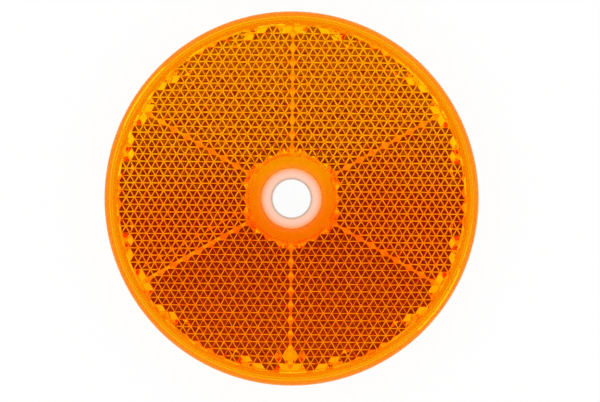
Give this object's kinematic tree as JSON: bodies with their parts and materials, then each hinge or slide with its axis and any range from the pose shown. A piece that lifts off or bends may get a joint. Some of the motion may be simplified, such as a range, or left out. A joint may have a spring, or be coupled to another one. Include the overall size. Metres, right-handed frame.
{
  "type": "round reflector",
  "caption": "Round amber retroreflector: a flat prism lens with a rounded rim, closed by a white back plate whose central boss takes the fixing screw.",
  "frame": {"origin": "on the axis of the fixing hole, in the plane of the back face", "axes": "+Z out of the front along the fixing hole, +X along the centre line of one prism sector"},
  "size_m": [0.06, 0.06, 0.0065],
  "materials": {
    "amber_lens": "polished clear amber",
    "white_plate": "satin moulded white"
  },
  "bodies": {
    "root": {"lens": "amber_lens", "back_plate": "white_plate"}
  },
  "joints": []
}
